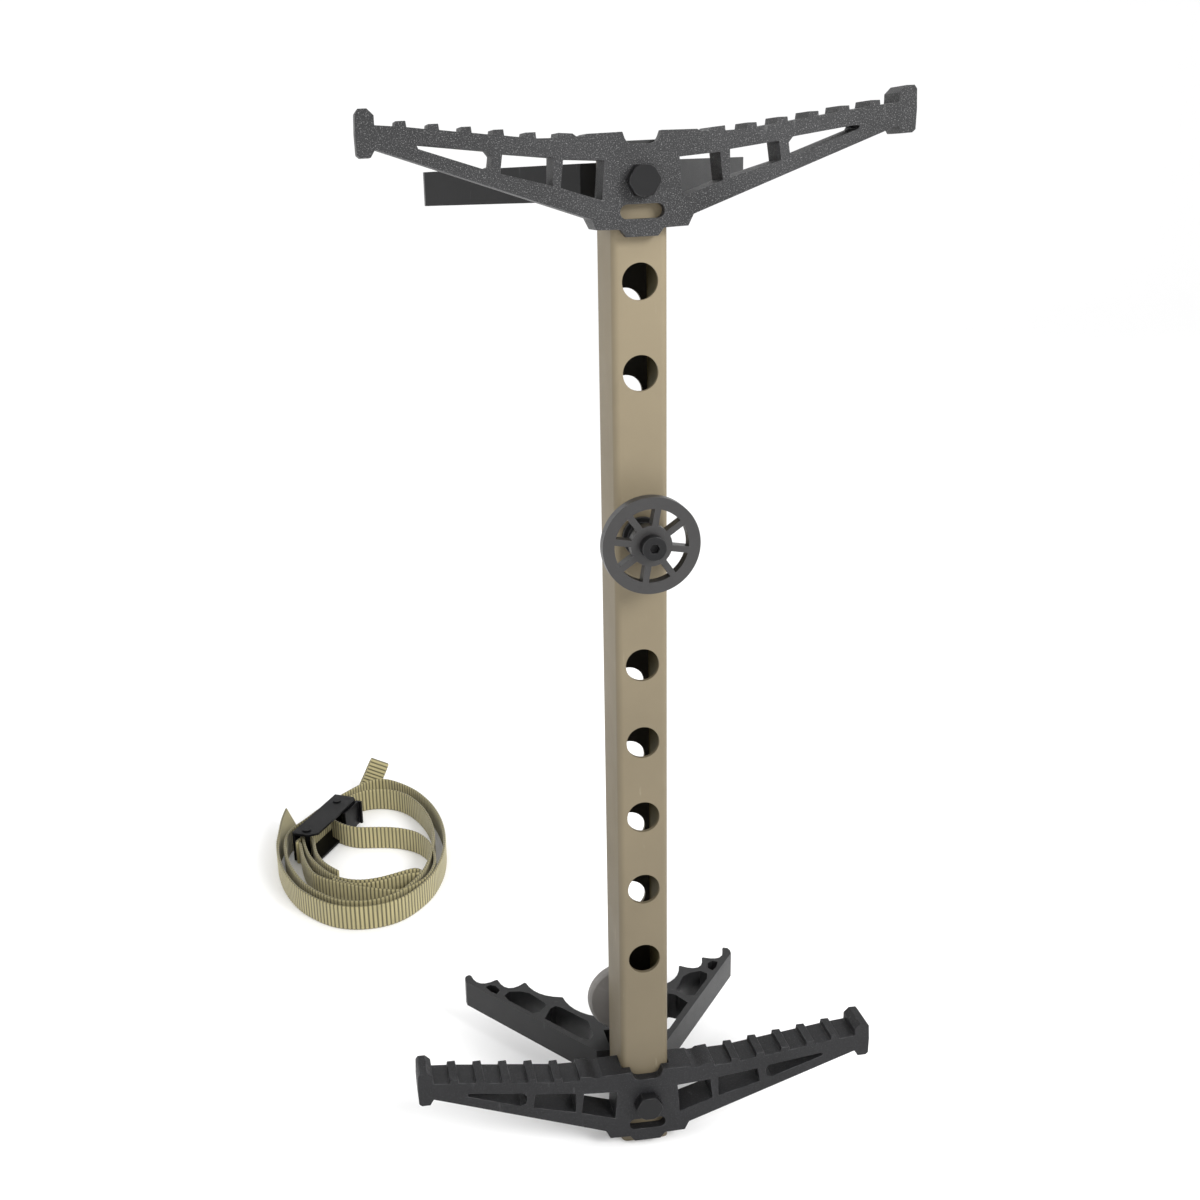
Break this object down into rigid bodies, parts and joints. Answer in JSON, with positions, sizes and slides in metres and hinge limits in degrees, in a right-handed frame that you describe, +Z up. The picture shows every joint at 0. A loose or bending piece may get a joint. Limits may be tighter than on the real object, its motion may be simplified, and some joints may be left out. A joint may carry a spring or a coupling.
{
  "type": "climbing stick",
  "caption": "Rigid climbing stick: tan rectangular tube, toothed double steps, V tree brackets, spoked strap wheel, and a coiled webbing strap with cam buckle.",
  "frame": {"origin": "on the trunk's line behind the stick, level with the bottom end of the tube", "axes": "+Z up along the stick, +X to the right seen from the front, +Y towards the tree"},
  "size_m": [0.3319, 0.4853, 0.5313],
  "materials": {
    "tube": "matt tan powder coat",
    "cap_plastic": "matt black",
    "step_metal": "fine sand-cast texture, dark grey coat",
    "bracket_metal": "satin black coat",
    "black_steel": "black oxide",
    "spool_metal": "dark anodised",
    "wheel_metal": "satin dark grey",
    "button_grey": "light grey, matt",
    "webbing": "ribbed olive-tan webbing",
    "buckle_steel": "gloss black"
  },
  "bodies": {
    "frame": {"main_tube": "tube", "upper_end_cap": "cap_plastic", "lower_end_cap": "cap_plastic", "upper_step": "step_metal", "lower_step": "step_metal", "upper_bracket": "bracket_metal", "lower_bracket": "bracket_metal", "upper_bolt": "black_steel", "lower_bolt": "black_steel", "upper_washer": "black_steel", "lower_washer": "black_steel", "upper_lock_nut": "black_steel", "lower_lock_nut": "black_steel", "wheel_spool": "spool_metal", "wheel_bolt": "black_steel", "wheel_nut": "black_steel", "rear_button": "button_grey", "button_screw": "black_steel"},
    "wheel": {"strap_wheel": "wheel_metal"},
    "strap": {"strap_coil": "webbing", "strap_tail": "webbing", "strap_loop": "webbing", "buckle_frame": "buckle_steel", "buckle_pin": "buckle_steel", "buckle_rivet": "buckle_steel"},
    "lever": {"buckle_lever": "buckle_steel"}
  },
  "joints": [
    {"name": "wheel_spin", "type": "hinge", "parent": "frame", "child": "wheel", "pos_m": [0, -0.136, 0.3383], "axis": [0, 1, 0], "continuous": true},
    {"name": "strap_lift", "type": "slide", "parent": "frame", "child": "strap", "axis": [0, 0, 1], "range_m": [0, 0.1]},
    {"name": "buckle_cam", "type": "hinge", "parent": "strap", "child": "lever", "pos_m": [-0.15387, 0.27743, 0.013], "axis": [0, 0, 1], "range_deg": [0, 25], "stiffness_Nm_per_rad": 0.05}
  ]
}
